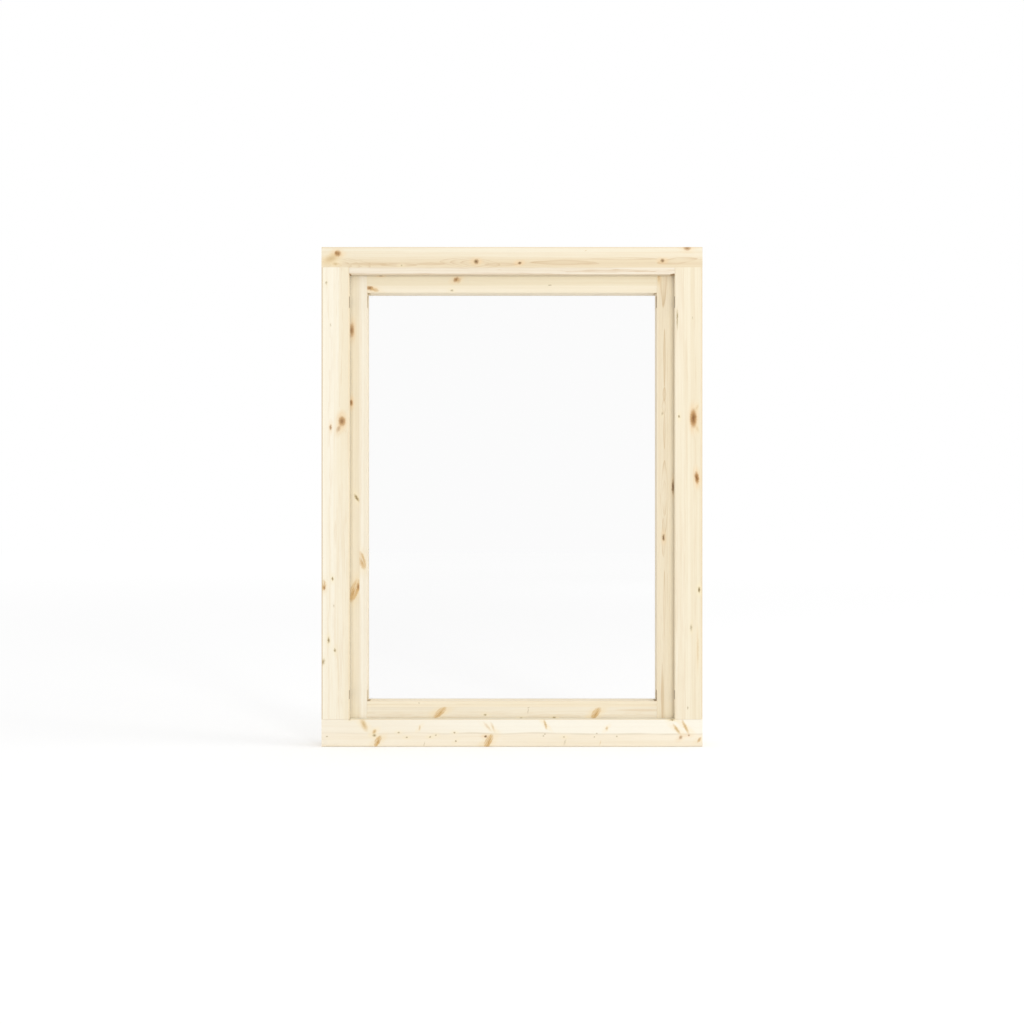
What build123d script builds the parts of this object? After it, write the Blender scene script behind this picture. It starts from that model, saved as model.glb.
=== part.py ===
from build123d import *
import os

os.makedirs("parts", exist_ok=True)

# Overall size of the window, in millimetres
window_width = 800
window_height = 1050

# Frame members: an L-shaped section whose outside lip covers the sash's edge
frame_face = 58
lip_thickness = 16
lip_overlap = 15
frame_tenon = 19

# Sash members: the glass sits in a rebate on the room side
sash_face = 48
sash_thickness = 45
sash_clearance = 3
sash_tenon = 15
rebate_width = 11
rebate_depth = 11

# Glass, beads and the weather seal
glass_thickness = 4
glass_clearance = 2
stop_bead_width = 15
stop_bead_thickness = 12
seal_width = 10
seal_thickness = 2

# Rounded edges
outer_arris = 2.5
lip_arris = 1.5
back_arris = 1
sash_arris = 1
glazing_bead_round = 4
stop_bead_round = 6

# Depths behind the outside face
seal_front = lip_thickness
sash_front = seal_front + seal_thickness
sash_back = sash_front + sash_thickness
frame_depth = sash_back + stop_bead_thickness
glass_front = sash_back - rebate_depth
glass_back = glass_front + glass_thickness
frame_tenon_middle = (lip_thickness + frame_depth) / 2
sash_tenon_middle = (sash_front + glass_front) / 2

# Widths and insets measured inwards from the frame's outer edges
frame_web = frame_face - lip_overlap
sash_web = sash_face - rebate_width
sash_inset = frame_web + sash_clearance
glazing_bead_inset = sash_inset + sash_web
glass_inset = glazing_bead_inset + glass_clearance


def side_plane(side, inset):
    # A member's own plane: x runs inwards, y runs back from the outside face, z along the member
    half = window_width / 2 - inset
    front = -frame_depth / 2
    top = window_height - inset
    planes = {
        "left": Plane(origin=(-half, front, inset), x_dir=(1, 0, 0), z_dir=(0, 0, 1)),
        "right": Plane(origin=(half, front, top), x_dir=(-1, 0, 0), z_dir=(0, 0, -1)),
        "top": Plane(origin=(-half, front, top), x_dir=(0, 0, -1), z_dir=(1, 0, 0)),
        "bottom": Plane(origin=(half, front, inset), x_dir=(0, 0, 1), z_dir=(-1, 0, 0)),
    }
    return planes[side]


def side_length(side, inset):
    whole = window_height if side in ("left", "right") else window_width
    return whole - 2 * inset


def strip(plane, low, high, front, back):
    # A rectangle of a member's section, from low to high inwards and front to back in depth
    with BuildSketch(plane) as section:
        with Locations(((low + high) / 2, (front + back) / 2)):
            Rectangle(high - low, back - front)
    return section.sketch


def frame_section(plane):
    with BuildSketch(plane) as section:
        with BuildLine():
            Polyline(
                (0, 0),
                (frame_face, 0),
                (frame_face, lip_thickness),
                (frame_web, lip_thickness),
                (frame_web, frame_depth),
                (0, frame_depth),
                close=True,
            )
        make_face()
        fillet(section.vertices().group_by(Axis.X)[-1].sort_by(Axis.Y)[0], lip_arris)
        fillet(section.vertices().group_by(Axis.X)[0].sort_by(Axis.Y)[0], outer_arris)
        fillet(section.vertices().group_by(Axis.X)[0].sort_by(Axis.Y)[-1], back_arris)
    return section.sketch


def sash_section(plane):
    with BuildSketch(plane) as section:
        with BuildLine():
            Polyline(
                (0, sash_front),
                (sash_face, sash_front),
                (sash_face, glass_front),
                (sash_web, glass_front),
                (sash_web, sash_back),
                (0, sash_back),
                close=True,
            )
        make_face()
        fillet(section.vertices().group_by(Axis.X)[-1].sort_by(Axis.Y)[0], sash_arris)
    return section.sketch


def bead_section(plane, width, front, back, radius):
    # A bead whose edge towards the glass is rounded on the room side
    with BuildSketch(plane) as section:
        with Locations((width / 2, (front + back) / 2)):
            Rectangle(width, back - front)
        fillet(section.vertices().group_by(Axis.X)[-1].sort_by(Axis.Y)[-1], radius)
    return section.sketch


def frame_tenon_strip(plane):
    front = frame_tenon_middle - frame_tenon / 2
    return strip(plane, 0, frame_web, front, front + frame_tenon)


def sash_tenon_strip(plane):
    front = sash_tenon_middle - sash_tenon / 2
    return strip(plane, 0, sash_face, front, front + sash_tenon)


def mitre_plane(side, inset, end):
    # The diagonal through a corner: end 0 is the member's start and end 1 its far end
    plane = side_plane(side, inset)
    corner = plane.origin + plane.z_dir * (side_length(side, inset) * end)
    along = plane.z_dir if end == 0 else -plane.z_dir
    return Plane(origin=corner, x_dir=plane.y_dir, z_dir=along - plane.x_dir)


def save(piece, name):
    piece.part.label = name
    export_step(piece.part, f"parts/{name}.step")


# Frame head: full width, slotted ends, its lip cut away where the jambs come up to it
head_plane = side_plane("top", 0)
with BuildPart() as frame_head:
    extrude(frame_section(head_plane), amount=window_width)
    for start in (0, window_width - frame_web):
        extrude(frame_tenon_strip(head_plane.offset(start)), amount=frame_web, mode=Mode.SUBTRACT)
    for start in (0, window_width - frame_face):
        lip = strip(head_plane.offset(start), frame_web, frame_face, 0, lip_thickness)
        extrude(lip, amount=frame_face, mode=Mode.SUBTRACT)
save(frame_head, "frame_head")

# Frame sill: full width with slotted ends, its lip running on under the jambs
sill_plane = side_plane("bottom", 0)
with BuildPart() as frame_sill:
    extrude(frame_section(sill_plane), amount=window_width)
    for start in (0, window_width - frame_web):
        extrude(frame_tenon_strip(sill_plane.offset(start)), amount=frame_web, mode=Mode.SUBTRACT)
save(frame_sill, "frame_sill")

# Frame jambs: square shoulder under the head, stepped shoulder over the sill's lip, through tenons
jamb_plane = side_plane("left", 0)
with BuildPart() as frame_jamb_left:
    extrude(frame_section(jamb_plane.offset(frame_web)), amount=window_height - 2 * frame_web)
    lip_step = strip(jamb_plane.offset(frame_web), 0, frame_face, 0, lip_thickness)
    extrude(lip_step, amount=lip_overlap, mode=Mode.SUBTRACT)
    extrude(frame_tenon_strip(jamb_plane), amount=window_height)
save(frame_jamb_left, "frame_jamb_left")

with BuildPart() as frame_jamb_right:
    mirror(frame_jamb_left.part, about=Plane.YZ)
save(frame_jamb_right, "frame_jamb_right")

# Sash stiles: full height of the sash, with open slots for the rails' tenons
for side in ("left", "right"):
    stile_plane = side_plane(side, sash_inset)
    stile_length = side_length(side, sash_inset)
    with BuildPart() as sash_stile:
        extrude(sash_section(stile_plane), amount=stile_length)
        for start in (0, stile_length - sash_face):
            extrude(sash_tenon_strip(stile_plane.offset(start)), amount=sash_face, mode=Mode.SUBTRACT)
    save(sash_stile, f"sash_stile_{side}")

# Sash rails: square front shoulders, longer back shoulders that close the stiles' rebates, tenons
for side in ("top", "bottom"):
    rail_plane = side_plane(side, sash_inset)
    rail_length = side_length(side, sash_inset)
    with BuildPart() as sash_rail:
        extrude(sash_section(rail_plane.offset(sash_face)), amount=rail_length - 2 * sash_face)
        back_shoulder = strip(rail_plane.offset(sash_web), 0, sash_web, glass_front, sash_back)
        extrude(back_shoulder, amount=rail_length - 2 * sash_web)
        extrude(sash_tenon_strip(rail_plane), amount=rail_length)
    save(sash_rail, f"sash_{side}_rail")

# Glass pane, bedded on the rebate with a small clearance round its edge
with BuildPart() as glass_pane:
    with BuildSketch(Plane.XZ.offset(frame_depth / 2 - glass_front)):
        with Locations((0, window_height / 2)):
            Rectangle(side_length("top", glass_inset), side_length("left", glass_inset))
    extrude(amount=-glass_thickness)
save(glass_pane, "glass_pane")

# Glazing beads behind the glass and stop beads behind the sash, mitred at the corners
bead_kinds = {
    "glazing_bead": (glazing_bead_inset, rebate_width, glass_back, sash_back, glazing_bead_round),
    "stop_bead": (frame_web, stop_bead_width, sash_back, frame_depth, stop_bead_round),
}
for kind, (inset, width, front, back, radius) in bead_kinds.items():
    for side in ("top", "bottom", "left", "right"):
        with BuildPart() as bead:
            section = bead_section(side_plane(side, inset), width, front, back, radius)
            extrude(section, amount=side_length(side, inset))
            for end in (0, 1):
                split(bisect_by=mitre_plane(side, inset, end), keep=Keep.TOP)
        save(bead, f"{kind}_{side}")

# Weather seal strips between the lip and the sash's edge, the uprights butted between the others
for side in ("top", "bottom", "left", "right"):
    seal_trim = seal_width if side in ("left", "right") else 0
    with BuildPart() as weather_seal:
        seal_plane = side_plane(side, sash_inset).offset(seal_trim)
        section = strip(seal_plane, 0, seal_width, seal_front, sash_front)
        extrude(section, amount=side_length(side, sash_inset) - 2 * seal_trim)
    save(weather_seal, f"weather_seal_{side}")
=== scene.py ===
import math
import bmesh
import bpy
from mathutils import Matrix, Vector


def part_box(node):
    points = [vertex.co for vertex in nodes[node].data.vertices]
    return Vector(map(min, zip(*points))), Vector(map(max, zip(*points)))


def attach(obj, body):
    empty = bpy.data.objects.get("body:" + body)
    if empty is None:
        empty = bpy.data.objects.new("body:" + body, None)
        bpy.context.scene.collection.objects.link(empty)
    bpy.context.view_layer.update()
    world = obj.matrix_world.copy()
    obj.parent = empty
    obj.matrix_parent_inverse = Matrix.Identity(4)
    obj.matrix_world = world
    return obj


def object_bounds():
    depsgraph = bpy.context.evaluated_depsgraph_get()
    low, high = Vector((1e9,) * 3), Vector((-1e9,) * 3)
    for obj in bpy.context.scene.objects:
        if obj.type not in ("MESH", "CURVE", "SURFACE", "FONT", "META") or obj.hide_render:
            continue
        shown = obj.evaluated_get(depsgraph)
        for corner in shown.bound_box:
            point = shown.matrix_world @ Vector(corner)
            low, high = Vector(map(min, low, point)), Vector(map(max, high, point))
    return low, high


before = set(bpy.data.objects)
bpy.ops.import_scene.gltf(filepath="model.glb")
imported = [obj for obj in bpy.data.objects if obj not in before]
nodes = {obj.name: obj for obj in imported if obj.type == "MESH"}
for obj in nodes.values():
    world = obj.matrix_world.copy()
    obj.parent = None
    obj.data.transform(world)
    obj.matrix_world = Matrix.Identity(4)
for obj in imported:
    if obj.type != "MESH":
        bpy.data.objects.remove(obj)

cadBox = [list(corner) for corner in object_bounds()]
mm = 0.001
print("frame loaded with", len(nodes), "pieces")


class Wire:
    # an output socket of a shader tree: sums and products on it add their own Math nodes
    def __init__(self, tree, socket=None):
        self.tree = tree
        self.socket = socket

    # the one way to any other node: its type, its settings first, then its sockets' values or links
    def add(self, kind, settings=None, inputs=None, out=0):
        node = self.tree.nodes.new("ShaderNode" + kind)
        for name, value in (settings or {}).items():
            setattr(node, name, value)
        for name, value in (inputs or {}).items():
            if isinstance(value, Wire):
                self.tree.links.new(value.socket, node.inputs[name])
            else:
                node.inputs[name].default_value = value
        return Wire(self.tree, node.outputs[out] if node.outputs else None)

    def beside(self, out):  # another output of the same node
        return Wire(self.tree, self.socket.node.outputs[out])

    def math(self, operation, first, second=0.0):
        return self.add("Math", {"operation": operation}, {0: first, 1: second})

    def __add__(self, other):
        return self.math("ADD", self, other)

    def __radd__(self, other):
        return self.math("ADD", other, self)

    def __sub__(self, other):
        return self.math("SUBTRACT", self, other)

    def __rsub__(self, other):
        return self.math("SUBTRACT", other, self)

    def __mul__(self, other):
        return self.math("MULTIPLY", self, other)

    def __rmul__(self, other):
        return self.math("MULTIPLY", other, self)

    def __truediv__(self, other):
        return self.math("DIVIDE", self, other)

    def __pow__(self, other):
        return self.math("POWER", self, other)

    def __abs__(self):
        return self.math("ABSOLUTE", self)


def colour(red, green, blue):  # screen values from 0 to 255, as read with a colour picker
    def linear(value):
        share = value / 255
        return share / 12.92 if share <= 0.04045 else ((share + 0.055) / 1.055) ** 2.4
    return (linear(red), linear(green), linear(blue), 1.0)


def grey(level):
    return (level, level, level, 1.0)


def fade(value, start, stop, low=0.0, high=1.0):  # a smooth step from low to high
    settings = {"interpolation_type": "SMOOTHSTEP"}
    return value.add("MapRange", settings, {0: value, 1: start, 2: stop, 3: low, 4: high})


def larger(first, second):
    return first.math("MAXIMUM", first, second)


def mixColour(factor, first, second):
    return factor.add("Mix", {"data_type": "RGBA"}, {0: factor, 6: first, 7: second}, out=2)


def newShader(name):
    material = bpy.data.materials.new(name)
    material.use_nodes = True
    material.node_tree.nodes.clear()
    return material, Wire(material.node_tree)


def finishShader(surface):
    surface.add("OutputMaterial", None, {"Surface": surface})


def dress(nodeName, material):
    slots = nodes[nodeName].data.materials
    slots.clear()
    slots.append(material)


# what all the timber shares; a board's own dictionary says where it differs, places in millimetres
spruce = {
    "grain": "x",  # the axis that the fibres run along
    "face": -37.5,  # where the board's outside face lies
    "pith": (0, 60),  # the tree's middle: across the board, and in depth
    "ringGap": 3.2,
    "wander": 4.0,  # how far the rings stray along the board
    "seed": 1,
    "pale": (250, 239, 216),
    "warm": (240, 224, 193),
    "late": (218, 190, 148),  # the hard line that ends a year's ring
    "lateShare": 0.4,
    "latePower": 4.0,  # the larger, the thinner the line
    "layer": None,  # a second layer: glue line, the side it lies on, its tones and its hard lines' strength
    "sapEdge": None,  # height, slope along the board and softness of the pale sapwood's edge
    "sap": (250, 246, 233),
    "sapGrow": (-400, 400),  # along the board, where the sapwood starts to pale and where it is palest
    "rim": (206, 192, 166),  # the thin line along the sapwood's edge
    "ragged": 0.8,  # how far the hard lines waver
    "figures": [],  # nested pointed loops of the rings: along, across, length, width, turn, lines, fill
    "plainShare": 1.0,  # what the hard lines keep away from the figures
    "quiet": None,  # across the board: where the hard lines start to fade, where they end, what is left
    "tilts": [],  # across the board: where a change in warmth starts and stops, and the warmth at each
    "bands": [],  # darker bands along the board: their middle across it, half width, strength
    "lipShade": None,  # painted shade, a darker margin in the lip's shelter: its edge across the board, where it is darkest, its width, strength
    "edge": None,  # a paler tone for the narrow sides, painted light that brightens the reveals
    "edgeRough": 0.5,
    "marks": [],  # short dark marks on the inner side: where they start and stop along the board; at the rails' ends they are painted shade in the sash's inner corners
    "markTone": (112, 88, 58),
    "markReach": (0, 0, 0),  # the farthest place across the board, the depths where they fade and end
    "rimAt": 0,  # the outer edge across the board, whose rounding gets more painted shade than the other one's
    "arrisShade": (0.3, 0.3),  # how much painted shade, a brown line, the outer and the inner rounding get
    "arrisShadeHalf": None,  # how far from the board's middle the roundings get that painted shade
    "knots": [],  # along, across, length, width, turn in degrees, strength, style
}
# a knot's tones, where its soft outline starts and is full, and how far it pushes the rings, in widths
knotStyles = {
    "live": {
        "body": (194, 152, 102), "core": (136, 94, 52), "halo": (238, 204, 154),
        "edge": (1.3, 0.6), "push": 0.2,
    },
    "dead": {
        "body": (172, 138, 94), "core": (98, 72, 48), "halo": (240, 208, 162),
        "edge": (1.3, 0.5), "push": 0.2,
    },
    "pin": {
        "body": (196, 176, 132), "core": (140, 122, 88), "halo": (246, 232, 196),
        "edge": (1.4, 0.4), "push": 0.0,
    },
    "spike": {
        "body": (214, 178, 120), "core": (188, 142, 82), "halo": (243, 222, 180),
        "edge": (1.2, 0.75), "push": 0.08,
    },
    "streak": {
        "body": (226, 200, 154), "core": (208, 178, 130), "halo": (248, 230, 192),
        "edge": (1.5, 0.4), "push": 0.0,
    },
}
endTone = colour(220, 188, 140)
# the brown of the painted shade along the roundings
arrisShadeTone = colour(212, 184, 138)
seedStep = 1731.0  # how far apart along the grain two boards' patterns lie
layerStep = 913.0  # the same for a board's second layer
layerShift = 17.0  # how far across the board that layer's rings are moved
branchDepth = (14, 3)  # a knot's half depth, and what each millimetre of its width adds to it
leastPush = 1  # smaller knots leave the rings alone
leastStain = 3.5  # narrower knots have no stain round them
longCut = 18  # from this length on, a cut through a branch shows its rings as lines
figureShare = 0.8  # the strength of a figure's lines beside the hard lines


def spruceBoard(name, board):
    material, start = newShader(name)
    upright = board["grain"] == "z"
    place = start.add("TexCoord", out="Object")
    normal = place.beside("Normal")
    point = place.add("VectorMath", {"operation": "SCALE"}, {0: place, "Scale": 1000.0})
    x = point.add("SeparateXYZ", None, {0: point})
    depth = x.beside("Y")
    z = x.beside("Z")
    along, across = (z, x) if upright else (x, z)
    seed = board["seed"] * seedStep
    layer = board["layer"]
    if layer:
        inner = fade(across, layer["line"] - 0.2 * layer["side"], layer["line"] + 0.2 * layer["side"])
        outer = 1.0 - inner
        seed = inner * layerStep + seed

    def grainNoise(longWay, wideWay, detail, shift=0.0):
        parts = {0: (along + seed + shift) / longWay, 1: across / wideWay, 2: depth / wideWay}
        where = along.add("CombineXYZ", None, parts)
        return along.add("TexNoise", None, {"Vector": where, "Scale": 1.0, "Detail": detail})

    # a knot is a branch: an ellipsoid that runs into the board, here as a place in its own size
    def inBranch(where, knot, grow=1.0, margin=0.0, lean=1.0):
        knotAlong, knotAcross, length, width, turn = knot[:5]
        spot = (knotAcross, board["face"], knotAlong) if upright else (knotAlong, board["face"], knotAcross)
        longHalf = grow * length / 2 + margin
        wideHalf = grow * width / 2 + margin / 3
        deepHalf = grow * (branchDepth[0] + branchDepth[1] * width)
        half = (wideHalf, deepHalf, longHalf) if upright else (longHalf, deepHalf, wideHalf)
        sides = {"Location": spot, "Rotation": (0.0, math.radians(-turn * lean), 0.0), "Scale": half}
        return where.add("Mapping", {"vector_type": "TEXTURE"}, {"Vector": where, **sides})

    def size(vector):
        return vector.add("VectorMath", {"operation": "LENGTH"}, {0: vector}, out="Value")

    def onSide(mask, knot):  # a knot ends at the glue line
        if not layer:
            return mask
        return mask * (inner if (knot[1] - layer["line"]) * layer["side"] > 0 else outer)

    # growth rings about the pith, pushed aside by the larger knots
    pithAcross, pithDepth = board["pith"]
    stray = (grainNoise(330.0, 70.0, 1.0) - 0.5) * (2.0 * board["wander"])
    sideways = across - pithAcross + stray
    if layer:
        sideways = sideways + inner * layerShift
    inwards = depth - pithDepth + stray * 0.6
    radius = (sideways * sideways + inwards * inwards) ** 0.5
    for knot in board["knots"]:
        push = knotStyles[knot[6]]["push"] * knot[3]
        if push > leastPush:
            around = size(inBranch(point, knot, 2.2, 10.0, 0.4))
            radius = radius + fade(around, 1.0, 0.0, 0.0, push)
    ragged = grainNoise(42.0, 2.4, 1.0, 19.0) - 0.5
    radius = radius + ragged * (2.0 * board["ragged"])
    patchy = fade(grainNoise(95.0, 6.0, 1.0, 23.0), 0.3, 0.62, 0.3, 1.0)
    figureLine, figureFill, plain = None, None, None
    for figure in board["figures"]:
        loops, filling = figure[5:]
        inside = inBranch(point, figure)
        inX = inside.add("SeparateXYZ", None, {0: inside})
        inY, inZ = inX.beside("Y"), inX.beside("Z")
        onward, aside = (inZ, inX) if upright else (inX, inZ)
        around = abs(onward) + aside * aside + inY * inY * 0.3 + ragged * 0.16
        loop = around * loops
        loop = loop.math("FRACT", loop)
        line = loop ** (1.8 + 0.4 * loops) * fade(loop, 1.0, 0.88) * fade(around, 1.02, 0.98)
        fill = fade(around, 1.05, 0.3, 0.0, filling)
        away = fade(around, 0.95, 1.1, 0.0, board["plainShare"])
        figureLine = larger(figureLine, line) if figureLine else line
        figureFill = larger(figureFill, fill) if figureFill else fill
        plain = plain.math("MINIMUM", plain, away) if plain else away
    years = radius.add("TexNoise", {"noise_dimensions": "1D"}, {
        "W": radius / 5.5, "Scale": 1.0, "Detail": 1.0,
    })
    phase = radius / board["ringGap"] + years * 1.4
    ring = phase.math("FRACT", phase)
    late = ring ** board["latePower"] * fade(ring, 1.0, 0.88)
    if figureLine:
        figureLine = figureLine * outer if layer else figureLine
        late = larger(late * plain, figureLine * figureShare)
    late = late * patchy
    if layer:
        late = late * (outer + inner * layer["lines"])
    if board["quiet"]:
        late = late * fade(across, *board["quiet"][:2], 1.0, board["quiet"][2])

    # tone: broad streaks, bands of years, then the rings' hard lines
    streak = fade(grainNoise(620.0, 7.0, 2.0, 77.0), 0.3, 0.7)
    thread = grainNoise(70.0, 1.6, 2.0, 31.0)
    fibre = grainNoise(9.0, 0.28, 1.0, 53.0)
    warmth = streak * 0.36 + fade(years, 0.32, 0.68) * 0.3 + (thread - 0.5) * 0.5 + 0.12
    for begin, stop, low, high in board["tilts"]:
        tilt = fade(across, begin, stop, low, high)
        warmth = warmth + (tilt * outer if layer else tilt)
    warmth = fade(warmth, 0.0, 1.0)
    tint = mixColour(warmth, colour(*board["pale"]), colour(*board["warm"]))
    if layer:
        layerTint = mixColour(warmth, colour(*layer["pale"]), colour(*layer["warm"]))
        tint = mixColour(inner, tint, layerTint)
    if board["sapEdge"]:
        height, slope, soft = board["sapEdge"]
        wave = grainNoise(120.0, 900.0, 1.0, 11.0) - 0.5
        edge = across + along * slope + wave * 9.0
        sap = fade(edge, height - soft, height + soft, 0.0, 0.8)
        grown = fade(along, *board["sapGrow"], 0.35, 1.0)
        tint = mixColour(sap * grown, tint, colour(*board["sap"]))
        rim = fade(abs(edge - height + 1.0), 3.0, 0.0, 0.0, 0.5)
        rim = rim * fade(grainNoise(90.0, 900.0, 1.0, 5.0), 0.3, 0.65, 0.3, 1.0)
        tint = mixColour(rim * grown, tint, colour(*board["rim"]))
    if figureFill:
        tint = mixColour(figureFill * outer if layer else figureFill, tint, colour(*board["late"]))
    for middle, half, strength in board["bands"]:
        band = fade(abs(across + stray * 0.7 - middle), half, 0.0, 0.0, strength)
        if layer:
            band = band * outer
        tint = mixColour(band * (0.6 + 0.8 * (thread - 0.5)), tint, colour(*board["late"]))
    tint = mixColour(late * board["lateShare"], tint, colour(*board["late"]))
    tint = mixColour(fade(fibre, 0.35, 0.75, 0.0, 0.08), tint, colour(*board["late"]))

    # the knots, their outlines made uneven: a soft stain, the branch, its darker heart
    uneven = point.add("TexNoise", None, {"Vector": point, "Scale": 0.3, "Detail": 2.0}, out=1)
    uneven = uneven.add("VectorMath", {"operation": "SUBTRACT"}, {0: uneven, 1: (0.5, 0.5, 0.5)})
    bent = uneven.add("VectorMath", {"operation": "MULTIPLY_ADD"}, {
        0: uneven, 1: (4.0, 4.0, 4.0), 2: point,
    })
    cover = None
    for knot in board["knots"]:
        width, strength, style = knot[3], knot[5], knotStyles[knot[6]]
        if width >= leastStain:
            stain = fade(size(inBranch(bent, knot, 1.9, 10.0, 0.6)), 1.0, 0.2, 0.0, 0.75 * strength)
            tint = mixColour(onSide(stain, knot) * (0.5 + 0.5 * warmth), tint, colour(*style["halo"]))
    for knot in board["knots"]:
        length, strength, style = knot[2], knot[5], knotStyles[knot[6]]
        inside = inBranch(bent, knot)
        apart = size(inside)
        body = fade(apart, *style["edge"], 0.0, min(1.0, 1.1 * strength))
        heart = fade(apart, 0.85, 0.05, 0.0, strength)
        if length >= longCut and knot[6] == "spike":
            thin = (4.6, 0.2, 0.7) if upright else (0.7, 0.2, 4.6)
            lines = inside.add("VectorMath", {"operation": "MULTIPLY"}, {0: inside, 1: thin})
            lines = lines.add("TexNoise", None, {"Vector": lines, "Scale": 0.55, "Detail": 1.0})
            body = body * fade(lines, 0.36, 0.56, 0.35, 1.0)
            heart = heart * fade(lines, 0.42, 0.62)
        body = onSide(body, knot)
        tint = mixColour(body, tint, colour(*style["body"]))
        tint = mixColour(onSide(heart, knot), tint, colour(*style["core"]))
        cover = larger(cover, body) if cover else body

    # the narrow sides get a paler tone, painted light that brightens the reveals, and cut ends show the
    # rings more strongly
    nx = normal.add("SeparateXYZ", None, {0: normal})
    ny = nx.beside("Y")
    nz = nx.beside("Z")
    narrow = fade(abs(nx if upright else nz), 0.7, 0.95, 0.0, 0.85)
    if board["edge"]:
        edgeLines = fade(thread, 0.3, 0.72, 0.0, 0.26) + late * 0.3
        litSides = mixColour(edgeLines, colour(*board["edge"]), colour(*board["late"]))
        tint = mixColour(narrow, tint, litSides)
    # dark marks on the inner sides; at the rails' ends these are painted shade in the corners
    darkMark = None
    for begin, end in board["marks"]:
        half = (end - begin) / 2
        mark = fade(abs(along - (begin + end) / 2), half + 1.0, half - 1.8)
        darkMark = darkMark + mark if darkMark else mark
    if darkMark:
        farthest, fadeFrom, fadeTo = board["markReach"]
        darkMark = darkMark * narrow * fade(abs(across), farthest + 0.5, farthest - 0.5)
        darkMark = darkMark * fade(depth, fadeFrom, fadeTo, 1.0, 0.0)
        darkMark = darkMark * fade(thread, 0.25, 0.55, 0.65, 1.0)
        tint = mixColour(darkMark, tint, colour(*board["markTone"]))
    sawn = fade(abs(nz if upright else nx), 0.6, 0.9)
    tint = mixColour(sawn * (0.25 + 0.45 * ring), tint, endTone)
    # painted shade: a brown line along the roundings, strongest on the outer edge and on the camera's side
    outerShare, innerShare = board["arrisShade"]
    roundingShade = fade(abs(nx * ny) + abs(nz * ny), 0.05, 0.4)
    roundingShade = roundingShade * fade(abs(across - board["rimAt"]), 5.0, 9.0, outerShare, innerShare)
    roundingShade = roundingShade * fade(ny, 0.0, -0.1, 0.2, 1.0)  # the painted shade is weaker on the roundings that face the room
    if board["arrisShadeHalf"]:
        roundingShade = roundingShade * fade(abs(along), board["arrisShadeHalf"] + 1.0, board["arrisShadeHalf"] - 1.0)
    tint = mixColour(roundingShade, tint, arrisShadeTone)
    # painted shade: the margin beside the lip is mixed towards black
    if board["lipShade"]:
        darkest, wide, share = board["lipShade"]
        tint = mixColour(fade(abs(across - darkest), wide, 0.0, 0.0, share), tint, colour(0, 0, 0))

    rough = 0.66 - 0.14 * late + 0.06 * thread
    if cover:
        rough = rough - cover * 0.16
    if board["edge"]:
        rough = rough + narrow * (board["edgeRough"] - rough)
    if darkMark:
        rough = rough + darkMark * (0.7 - rough)
    relief = fibre * 0.5 + late * 0.35 + thread * 0.4
    bump = relief.add("Bump", None, {"Strength": 0.22, "Distance": 0.0004, "Height": relief})
    surface = tint.add("BsdfPrincipled", None, {
        "Base Color": tint, "Roughness": rough, "Normal": bump, "Specular IOR Level": 0.28,
    })
    finishShader(surface)
    return material


frameHead = dict(spruce, pith=(1017, -25), ringGap=2.3, wander=4.0, seed=1, rimAt=1050,
    pale=(245, 236, 214), warm=(235, 219, 188), late=(206, 174, 130), lateShare=1.0,
    ragged=1.2, plainShare=0.3,
    tilts=[(1038, 1012, -0.15, 0.3), (1035, 1026, 0.0, 0.3)], bands=[(1014.5, 6, 0.25)],
    layer={"line": 1006.5, "side": -1, "pale": (246, 237, 219), "warm": (228, 212, 186), "lines": 3.0},
    quiet=(1024, 1034, 0.15),
    figures=[
        (-400, 1011, 210, 44, 0, 5, 0.0), (-300, 1014, 84, 7, 0, 1, 0.25), (-237, 1012, 84, 8, 0, 1, 0.1),
        (-171, 1014, 64, 6, 0, 1, 0.25), (-88, 1016, 128, 24, -3, 3, 0.0), (-22, 1013, 76, 8, 0, 1, 0.15),
        (109, 1017, 150, 11, 0, 1, 0.15), (160, 1015, 50, 5, 0, 1, 0.2), (235, 1025, 150, 6, 0, 1, 0.0),
        (347, 1020.5, 90, 15, 6, 1, 0.0),
    ],
    knots=[
        (-380, 1025, 36, 18, 22, 0.6, "streak"), (-371, 1014, 13, 8, 0, 0.55, "streak"),
        (-366, 1036, 14, 13, 0, 0.7, "live"), (-369, 1037, 7, 8, 0, 0.7, "live"),
        (-232, 1011, 4, 4, 0, 0.5, "pin"), (-75, 1019, 11, 10, 0, 0.75, "dead"),
        (16, 1016, 9, 6, 12, 0.75, "dead"), (155, 1042, 6, 2, 40, 0.4, "streak"),
        (316, 1021, 9, 8, 0, 0.68, "dead"), (368, 1048, 16, 12, 0, 0.62, "live"),
        # the two dark knots on the lip's lower edge by the jambs are painted shadow in the corners
        (338, 992, 12, 3.4, 0, 0.9, "dead"), (-340, 992, 6, 3, 0, 0.7, "dead"),
    ])
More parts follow.
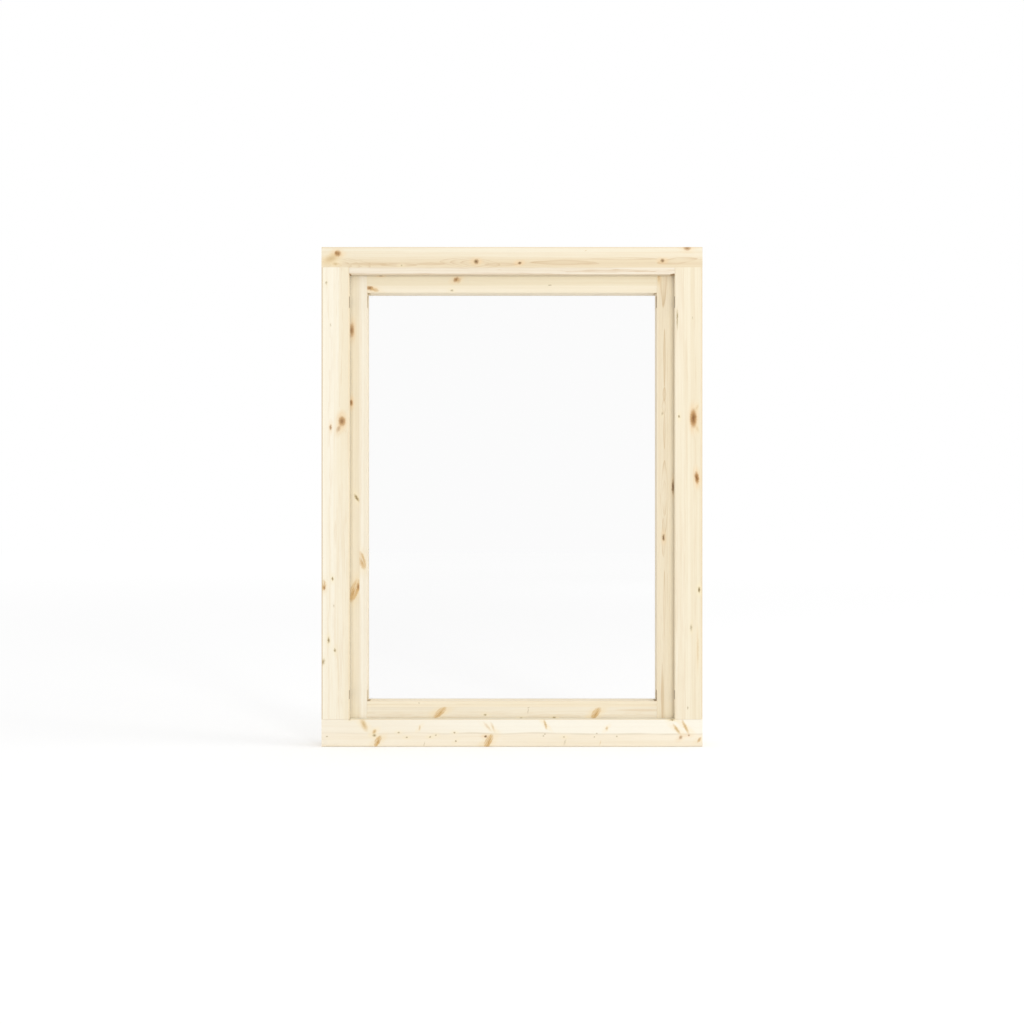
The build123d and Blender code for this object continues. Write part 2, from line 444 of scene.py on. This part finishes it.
frameSill = dict(spruce, pith=(20, 70), ringGap=2.8, wander=3.0, seed=2, arrisShade=(0.1, 0.5), arrisShadeHalf=341,
    pale=(248, 239, 220), warm=(240, 227, 202), quiet=(26, 32, 0.12), edge=(243, 239, 218),
    sapEdge=(29.0, 0.003, 2.6), sapGrow=(-330, 60),
    knots=[
        (-311, 47, 28, 11, -65, 0.7, "streak"), (-289, 32, 11, 7, 62, 0.9, "streak"),
        (-289, 24, 8, 6, 0, 0.75, "pin"), (-282, 12, 26, 11, 62, 0.85, "spike"),
        (-238, 30, 5, 4, 0, 0.55, "pin"), (-221, 20, 5, 4, 0, 0.6, "pin"),
        (-194, 40, 11, 4, 85, 0.5, "streak"), (-172, 21, 4, 4, 0, 0.7, "pin"),
        (-160, 25, 4, 4, 0, 0.6, "pin"), (-121, 30, 4, 4, 0, 0.6, "pin"),
        (-118, 12, 5, 4, 60, 0.6, "pin"), (-55, 22, 6, 5, 0, 0.85, "dead"),
        (-49, 12, 32, 14, 62, 0.8, "spike"), (-51, 42, 26, 6, -50, 0.3, "streak"),
        (-40, 41, 22, 5, -70, 0.35, "streak"), (-184, 6, 12, 2.5, 80, 0.3, "pin"),
        (111, 10, 14, 5, 75, 0.2, "pin"),
        (-389, 22, 6, 3, 0, 0.5, "pin"), (70, 47, 20, 5, -75, 0.8, "streak"),
        (69, 27, 4, 3, 0, 0.5, "pin"), (66, 23, 4, 3, 0, 0.6, "pin"),
        (109, 21, 4, 4, 0, 0.5, "pin"), (178, 28, 4, 3, 0, 0.5, "pin"),
        (173, 21, 4, 3, 0, 0.5, "pin"), (199, 39, 8, 5, 80, 0.6, "streak"),
        (220, 22, 5, 3, 0, 0.5, "pin"), (185, 8, 12, 3, 70, 0.3, "streak"),
        (346, 37, 24, 6, -55, 0.85, "streak"), (364, 42, 32, 6, -64, 0.85, "streak"),
        # the two pins at 57.5 on the lip's upper edge by the jambs are painted shadow in the corners
        (354, 20, 10, 7, 60, 0.45, "live"), (336, 57.5, 11, 5, 0, 0.9, "pin"),
        (-341, 57.5, 6, 4, 0, 0.7, "pin"), (371, 24, 5, 4, 0, 0.5, "live"),
        (393, 15, 14, 6, 55, 0.5, "spike"),
    ])
jambLeft = dict(spruce, grain="z", pith=(-362, 95), ringGap=3.0, wander=4.0, seed=3,
    pale=(250, 243, 225), warm=(242, 230, 203), rimAt=-400, arrisShade=(1.0, 0.3),
    tilts=[(-388, -346, -0.35, 0.3)], marks=[(922, 947), (99, 119)], markReach=(345, -34, -20),
    knots=[
        (974, -390, 8, 4, 0, 0.5, "pin"), (886, -381, 8, 3, 0, 0.3, "pin"),
        (684, -357, 21, 15, 0, 0.75, "live"), (668, -364, 16, 8, -25, 0.34, "live"),
        (671, -381, 13, 5, 0, 0.6, "live"), (340, -396, 22, 11, 0, 0.6, "spike"),
        (334, -394, 10, 5, 0, 0.6, "live"), (353, -377, 9, 4, 0, 1.0, "pin"),
        (296, -374, 8, 3, 0, 0.3, "pin"), (224, -385, 13, 5, 0, 0.85, "pin"),
        (203, -372, 9, 5, 0, 0.65, "pin"), (178, -397, 15, 8, -15, 0.55, "pin"),
    ])
jambRight = dict(spruce, grain="z", pith=(352, 80), ringGap=3.1, wander=4.0, seed=4,
    pale=(246, 237, 215), warm=(236, 223, 194), rimAt=400, arrisShade=(0.65, 0.1),
    tilts=[(360, 390, -0.25, 0.25)], marks=[(922, 947), (99, 119)], markReach=(345, -34, -20),
    knots=[
        (899, 347, 46, 3.2, 0, 0.75, "pin"), (901, 379, 7, 3, 0, 0.4, "pin"),
        (690, 381, 38, 14, 0, 0.95, "live"), (694, 351, 7, 4, 0, 0.7, "pin"),
        (565, 388, 25, 9, 6, 0.95, "live"), (330, 393, 13, 5, 0, 1.0, "pin"),
        (250, 376, 16, 5, 0, 0.4, "pin"), (82, 369, 8, 3, 0, 0.5, "pin"),
        (205, 390, 90, 5, 0, 0.3, "streak"), (712, 388, 18, 7, -24, 0.28, "streak"),
        (668, 389, 18, 7, 24, 0.28, "streak"),
    ])
stileLeft = dict(spruce, grain="z", face=-19.5, pith=(-338, 70), ringGap=2.9, wander=4.0, seed=5,
    # the board's own tones, for its outer layer, are greyer: partly the lamella's own tone and partly
    # painted shade beside the lip
    pale=(240, 230, 207), warm=(228, 215, 186),
    layer={"line": -322, "side": 1, "pale": (247, 240, 223), "warm": (239, 229, 207), "lines": 1.0},
    edge=(250, 238, 213), arrisShade=(0.0, 0.0), lipShade=(-340, 6.5, 0.1),
    marks=[(925, 951), (94, 117)], markReach=(309, -12, 14), markTone=(196, 174, 136),
    knots=[
        (877, -338, 30, 10, 0, 0.65, "live"), (724, -339.5, 14, 7, 0, 0.85, "live"),
        (523, -328, 18, 6, 30, 0.9, "pin"), (391, -317, 38, 15, 16, 0.65, "spike"),
        (328, -332, 50, 19, -22, 0.8, "spike"), (335, -325, 16, 7, 0, 0.6, "live"),
    ])
stileRight = dict(spruce, grain="z", face=-19.5, pith=(323, -7), ringGap=2.2, wander=5.0, seed=6,
    pale=(244, 233, 208), warm=(233, 217, 186), late=(204, 172, 124), lateShare=1.0,
    ragged=1.2, plainShare=0.3, bands=[(322, 8, 0.12)],
    figures=[
        (1020, 320, 200, 20, 0, 1, 0.0), (818, 322, 130, 6, 0, 1, 0.35), (742, 322, 32, 9, 0, 1, 0.3),
        (716, 321, 36, 10, 0, 1, 0.0), (664, 322, 80, 6, 0, 1, 0.25), (522, 322, 166, 17, 0, 2, 0.0),
        (439, 320, 90, 10, 0, 1, 0.1), (300, 322, 150, 5, 0, 1, 0.1), (104, 317.5, 150, 7, 0, 1, 0.5),
    ],
    edge=(249, 235, 207), arrisShade=(0.0, 0.0),
    marks=[(925, 951), (94, 117)], markReach=(309, -12, 14), markTone=(146, 120, 84),
    knots=[
        (990, 310, 32, 6, 0, 0.6, "streak"), (701, 317, 8, 4, 0, 0.4, "pin"),
        (546, 340, 32, 6, 0, 0.7, "dead"), (439, 320, 15, 6, 0, 0.82, "dead"),
    ])
topRail = dict(spruce, face=-19.5, pith=(990, 90), ringGap=3.0, wander=2.5, seed=7,
    # the board's own tones, for its outer layer, are darker: partly the lamella's own tone and partly
    # painted shade under the lip
    pale=(243, 233, 207), warm=(236, 222, 191),
    layer={"line": 971, "side": -1, "pale": (247, 237, 215), "warm": (241, 229, 202), "lines": 1.0},
    edge=(250, 238, 212), arrisShade=(0.0, 0.0),
    # its marks at the ends are painted shade in the sash's inner corners
    marks=[(-307, -300), (300, 307)], markReach=(960, 2, 16), markTone=(196, 174, 136),
    knots=[
        (-300, 966, 14, 9, -12, 0.78, "live"), (-290, 963, 18, 8, -22, 0.6, "spike"),
        (-118, 984, 13, 9, 35, 0.72, "live"), (-112, 982, 14, 8, 50, 0.3, "spike"),
        (-127, 961, 7, 5, 0, 0.5, "pin"), (80, 972, 8, 3, 0, 0.5, "pin"),
        (-277, 993, 9, 4, 0, 0.8, "dead"),
    ])
bottomRail = dict(spruce, face=-19.5, pith=(60, 85), ringGap=2.9, wander=3.0, seed=8,
    pale=(244, 236, 217), warm=(236, 224, 200),
    layer={"line": 82, "side": 1, "pale": (246, 235, 211), "warm": (237, 222, 192), "lines": 1.0},
    figures=[(274, 75, 120, 6, 0, 1, 0.35)],
    edge=(250, 238, 212), arrisShade=(0.0, 0.0), lipShade=(58, 14, 0.025),
    # its marks at the ends are painted shade in the sash's inner corners
    marks=[(-307, -300), (300, 307)], markReach=(100, 2, 16), markTone=(150, 124, 88),
    knots=[
        (-152, 70, 35, 13, 42, 0.75, "spike"), (177, 68, 30, 14, 52, 0.8, "spike"),
        (-57, 65, 7, 5, 0, 0.6, "pin"), (-196, 90, 4, 3, 0, 0.4, "pin"),
        (35, 80, 5, 3, 0, 0.4, "pin"), (19, 58, 8, 4, 0, 0.5, "pin"),
        (89, 59, 9, 5, 0, 0.6, "pin"), (-147, 57, 9, 4, 0, 0.5, "pin"),
        (34, 73, 14, 3, 80, 0.25, "pin"),
    ])
boards = {
    "frame_head": frameHead, "frame_sill": frameSill,
    "frame_jamb_left": jambLeft, "frame_jamb_right": jambRight,
    "sash_stile_left": stileLeft, "sash_stile_right": stileRight,
    "sash_top_rail": topRail, "sash_bottom_rail": bottomRail,
}
for nodeName, board in boards.items():
    dress(nodeName, spruceBoard(nodeName + ".spruce", board))
print("timber dressed:", len(boards), "boards")

# the beads are cut from straight-grained strips
beadStrip = dict(spruce, pith=(0, 140), ringGap=2.4, wander=3.0, pale=(249, 238, 214), warm=(239, 221, 187))
for kind, seed in (("glazing_bead", 21), ("stop_bead", 41)):
    for step, side in enumerate(("top", "bottom", "left", "right")):
        low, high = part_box(f"{kind}_{side}")
        upright = side in ("left", "right")
        middle = (low + high) / 2 / mm
        strip = dict(beadStrip, grain="z" if upright else "x", seed=seed + step)
        strip["pith"] = ((middle.x if upright else middle.z) + 60, 120)
        dress(f"{kind}_{side}", spruceBoard(f"{kind}_{side}.spruce", strip))
print("beads dressed")

pane = {
    "tint": (253, 253, 253),
    "bend": 1.5,  # index of refraction
    "haze": 0.02,
}


def clearGlass(name):
    material, start = newShader(name)
    place = start.add("TexCoord", out="Object")
    wave = place.add("TexNoise", None, {"Vector": place, "Scale": 3.0, "Detail": 1.0})
    dust = place.add("TexNoise", None, {"Vector": place, "Scale": 26.0, "Detail": 3.0})
    bump = wave.add("Bump", None, {"Strength": 0.05, "Distance": 0.002, "Height": wave})
    back = start.add("NewGeometry", out="Backfacing")
    mirror = start.add("Fresnel", None, {"IOR": pane["bend"]}) * (1.0 - back)  # only on the way in
    clear = start.add("BsdfTransparent", None, {"Color": colour(*pane["tint"])})
    shine = start.add("BsdfGlossy", None, {
        "Color": grey(1.0), "Roughness": fade(dust, 0.4, 0.8, 0.0, pane["haze"]), "Normal": bump,
    })
    finishShader(start.add("MixShader", None, {0: mirror, 1: clear, 2: shine}))
    return material


dress("glass_pane", clearGlass("clear_glass"))

seal = {"black": (38, 38, 37), "worn": (62, 61, 58)}


def sealRubber(name):
    material, start = newShader(name)
    place = start.add("TexCoord", out="Object")
    grain = place.add("TexNoise", None, {"Vector": place, "Scale": 900.0, "Detail": 3.0})
    cloud = place.add("TexNoise", None, {"Vector": place, "Scale": 40.0, "Detail": 2.0})
    tint = mixColour(fade(cloud, 0.35, 0.7), colour(*seal["black"]), colour(*seal["worn"]))
    bump = grain.add("Bump", None, {"Strength": 0.3, "Distance": 0.0002, "Height": grain})
    surface = tint.add("BsdfPrincipled", None, {
        "Base Color": tint, "Roughness": 0.6 + 0.2 * grain, "Normal": bump, "Specular IOR Level": 0.3,
    })
    finishShader(surface)
    return material


rubber = sealRubber("seal_rubber")
for side in ("top", "bottom", "left", "right"):
    dress(f"weather_seal_{side}", rubber)
print("glass and seals dressed")

# the beads' fasteners on the room side: cross-head screws in the stop beads, pins in the glazing beads
fasteners = {
    "stop_bead": {
        "wide": 5.0, "high": 1.0, "gap": 205.0, "end": 42.0, "rings": 14, "spokes": 48, "cross": True,
    },
    "glazing_bead": {
        "wide": 2.0, "high": 0.25, "gap": 150.0, "end": 36.0, "rings": 5, "spokes": 20, "cross": False,
    },
}
crossArm = {"long": 1.5, "wide": 0.5, "taper": 0.3, "wall": 0.22, "slope": 0.3, "floor": 0.07}
domePower = 2.2  # the larger, the flatter a head's top
headRim = 0.12  # a head's height at its rim
headSkirt = -0.3  # how far its rim goes on into the wood
fromSash = 3.0  # the screws' distance from the sash
offCorner = 1.17  # each way from a glazing bead's square corner to its rounded edge
stepTurn = 2.4  # radians, so that each head stands at an angle of its own
countTurn = 0.9
inward = {
    "left": Vector((1, 0, 0)), "right": Vector((-1, 0, 0)),
    "top": Vector((0, 0, -1)), "bottom": Vector((0, 0, 1)),
}
roomWay = Vector((0, 1, 0))


def smooth(value, start, stop):
    share = min(1.0, max(0.0, (value - start) / (stop - start)))
    return share * share * (3 - 2 * share)


def headHeight(kind, u, v):  # a low dome, with a tapering cross pressed into a screw's
    half = kind["wide"] / 2
    rise = headRim + (kind["high"] - headRim) * (1 - min(1.0, math.hypot(u, v) / half) ** domePower)
    if not kind["cross"]:
        return rise
    arms = []
    for far, near in ((abs(u), abs(v)), (abs(v), abs(u))):
        wide = crossArm["wide"] * (1 - crossArm["taper"] * far / crossArm["long"])
        arm = smooth(far, crossArm["long"], crossArm["long"] - crossArm["slope"])
        arms.append(arm * smooth(near, wide, wide - crossArm["wall"]))
    return rise - (rise - crossArm["floor"]) * max(arms)


def addHead(work, kind, place):
    half = kind["wide"] / 2
    last = [work.verts.new(place @ Vector((0, 0, headHeight(kind, 0, 0))))]
    for ring in range(1, kind["rings"] + 2):
        row = []
        for spoke in range(kind["spokes"]):
            angle = math.tau * spoke / kind["spokes"]
            far = half * min(1.0, ring / kind["rings"])
            u, v = far * math.cos(angle), far * math.sin(angle)
            high = headHeight(kind, u, v) if ring <= kind["rings"] else headSkirt
            row.append(work.verts.new(place @ Vector((u, v, high))))
        for spoke in range(kind["spokes"]):
            after = (spoke + 1) % kind["spokes"]
            if ring == 1:
                work.faces.new((last[0], row[spoke], row[after]))
            else:
                work.faces.new((last[spoke], row[spoke], row[after], last[after]))
        last = row


def headPlaces(bead, kind):  # a head's own frame, in millimetres, at each fastener
    spots = []
    for side, way in inward.items():
        low, high = (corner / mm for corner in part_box(f"{bead}_{side}"))
        edge = Vector([high[axis] if way[axis] > 0 else low[axis] for axis in range(3)])
        if kind["cross"]:
            edge.y, face = low.y + fromSash, way
        else:  # square to the bead's rounded edge
            edge.y, face = high.y, (way + roomWay).normalized()
            edge = edge - offCorner * (way + roomWay)
        axis = 2 if side in ("left", "right") else 0
        first, length = low[axis] + kind["end"], high[axis] - low[axis] - 2 * kind["end"]
        steps = round(length / kind["gap"])
        for step in range(steps + 1):
            edge[axis] = first + length * step / steps
            turned = face.to_track_quat("Z", "X").to_matrix().to_4x4()
            spin = Matrix.Rotation(stepTurn * step + countTurn * len(spots), 4, "Z")
            spots.append(Matrix.Translation(edge) @ turned @ spin)
    return spots


steelTone = {"bright": (206, 206, 202), "dull": (178, 178, 172)}


def fixingSteel(name):
    material, start = newShader(name)
    place = start.add("TexCoord", out="Object")
    scratch = place.add("TexNoise", None, {"Vector": place, "Scale": 2600.0, "Detail": 3.0})
    cloud = place.add("TexNoise", None, {"Vector": place, "Scale": 300.0, "Detail": 2.0})
    tint = mixColour(fade(cloud, 0.3, 0.7), colour(*steelTone["bright"]), colour(*steelTone["dull"]))
    bump = scratch.add("Bump", None, {"Strength": 0.15, "Distance": 0.0001, "Height": scratch})
    surface = tint.add("BsdfPrincipled", None, {
        "Base Color": tint, "Metallic": 1.0, "Roughness": 0.26 + 0.16 * scratch, "Normal": bump,
    })
    finishShader(surface)
    return material


steel = fixingSteel("fixing_steel")
for bead, pieceName in (("stop_bead", "stop_bead_screws"), ("glazing_bead", "glazing_bead_pins")):
    kind = fasteners[bead]
    work = bmesh.new()
    places = headPlaces(bead, kind)
    for place in places:
        addHead(work, kind, Matrix.Scale(mm, 4) @ place)
    bmesh.ops.recalc_face_normals(work, faces=work.faces)
    mesh = bpy.data.meshes.new(pieceName)
    work.to_mesh(mesh)
    work.free()
    mesh.shade_smooth()
    mesh.materials.append(steel)
    piece = bpy.data.objects.new(pieceName, mesh)
    bpy.context.scene.collection.objects.link(piece)
    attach(piece, "root")
    print(pieceName, "set:", len(places), "heads,", len(mesh.polygons), "faces")

# camera at the photograph's place: straight on, a little below the window's middle
shot = {"distance": 3.1, "height": 0.4932, "across": 2.15}
cameraData = bpy.data.cameras.new("camera")
camera = bpy.data.objects.new("camera", cameraData)
bpy.context.scene.collection.objects.link(camera)
cameraData.sensor_width = 36.0
cameraData.lens = cameraData.sensor_width * shot["distance"] / shot["across"]
camera.location = (0.0, cadBox[0][1] - shot["distance"], shot["height"])
camera.rotation_euler = (math.radians(90), 0.0, 0.0)
bpy.context.scene.camera = camera

# plain white studio: a soft sky, a soft lamp to the camera's right and a weak fill from the right side
studio = {
    "sky": 0.855,
    "floorSize": 30.0,
    "floorDrop": 0.1,  # millimetres under the sill
    "floorGrey": 0.86,
    "floorGlow": (0.189, 0.264),  # by the window and far off, so that the floor looks even
    "glowReach": 11.0,
    "lamps": {  # power, size, distance, turn to the right and rise
        "softLamp": (101.0, 1.1, 7.5, 21.0, 7.5), "sideFill": (66.0, 3.0, 6.0, 75.0, 30.0),
    },
}


def seenRays(start):  # what the camera sees straight on, mirrored or through glass, and not what lights
    ray = start.add("LightPath", out="Is Camera Ray")
    return larger(larger(ray, ray.beside("Is Glossy Ray")), ray.beside("Is Transmission Ray"))


world = bpy.data.worlds.new("studio")
bpy.context.scene.world = world
world.use_nodes = True
world.node_tree.nodes.clear()
start = Wire(world.node_tree)
seen = seenRays(start)
lightSky = start.add("Background", None, {"Color": grey(1.0), "Strength": studio["sky"]})
seenSky = start.add("Background", None, {"Color": grey(1.0), "Strength": 1.0})
sky = start.add("MixShader", None, {0: seen, 1: lightSky, 2: seenSky})
start.add("OutputWorld", None, {"Surface": sky})

aim = Vector((0.0, 0.0, 0.525))
for lampName, (power, wide, distance, turn, rise) in studio["lamps"].items():
    lampData = bpy.data.lights.new(lampName, "AREA")
    lampData.energy = power
    lampData.size = wide
    lamp = bpy.data.objects.new(lampName, lampData)
    lamp.visible_glossy = False
    bpy.context.scene.collection.objects.link(lamp)
    turn, rise = math.radians(turn), math.radians(rise)
    towards = Vector((math.sin(turn) * math.cos(rise), -math.cos(turn) * math.cos(rise), math.sin(rise)))
    lamp.location = aim + towards * distance
    lamp.rotation_euler = (-towards).to_track_quat("-Z", "Y").to_euler()


def studioFloor(name):
    material, start = newShader(name)
    seen = seenRays(start)
    paper = start.add("BsdfDiffuse", None, {"Color": grey(studio["floorGrey"])})
    place = start.add("TexCoord", out="Object")
    far = place.add("VectorMath", {"operation": "LENGTH"}, {0: place}, out="Value")
    near, horizon = studio["floorGlow"]
    glow = mixColour(fade(far, 0.0, studio["glowReach"]), grey(near), grey(horizon))
    lift = start.add("Emission", None, {"Color": glow, "Strength": 1.0})
    lifted = start.add("AddShader", None, {0: paper, 1: lift})
    finishShader(start.add("MixShader", None, {0: seen, 1: paper, 2: lifted}))
    return material


reach = studio["floorSize"] / 2
floorMesh = bpy.data.meshes.new("floor")
corners = [(-reach, -reach, 0), (reach, -reach, 0), (reach, reach, 0), (-reach, reach, 0)]
floorMesh.from_pydata(corners, [], [(0, 1, 2, 3)])
floor = bpy.data.objects.new("floor", floorMesh)
floor.location.z = -studio["floorDrop"] * mm
bpy.context.scene.collection.objects.link(floor)
floorMesh.materials.append(studioFloor("studio_floor"))
bpy.context.scene.view_settings.view_transform = "Standard"
print("studio set")
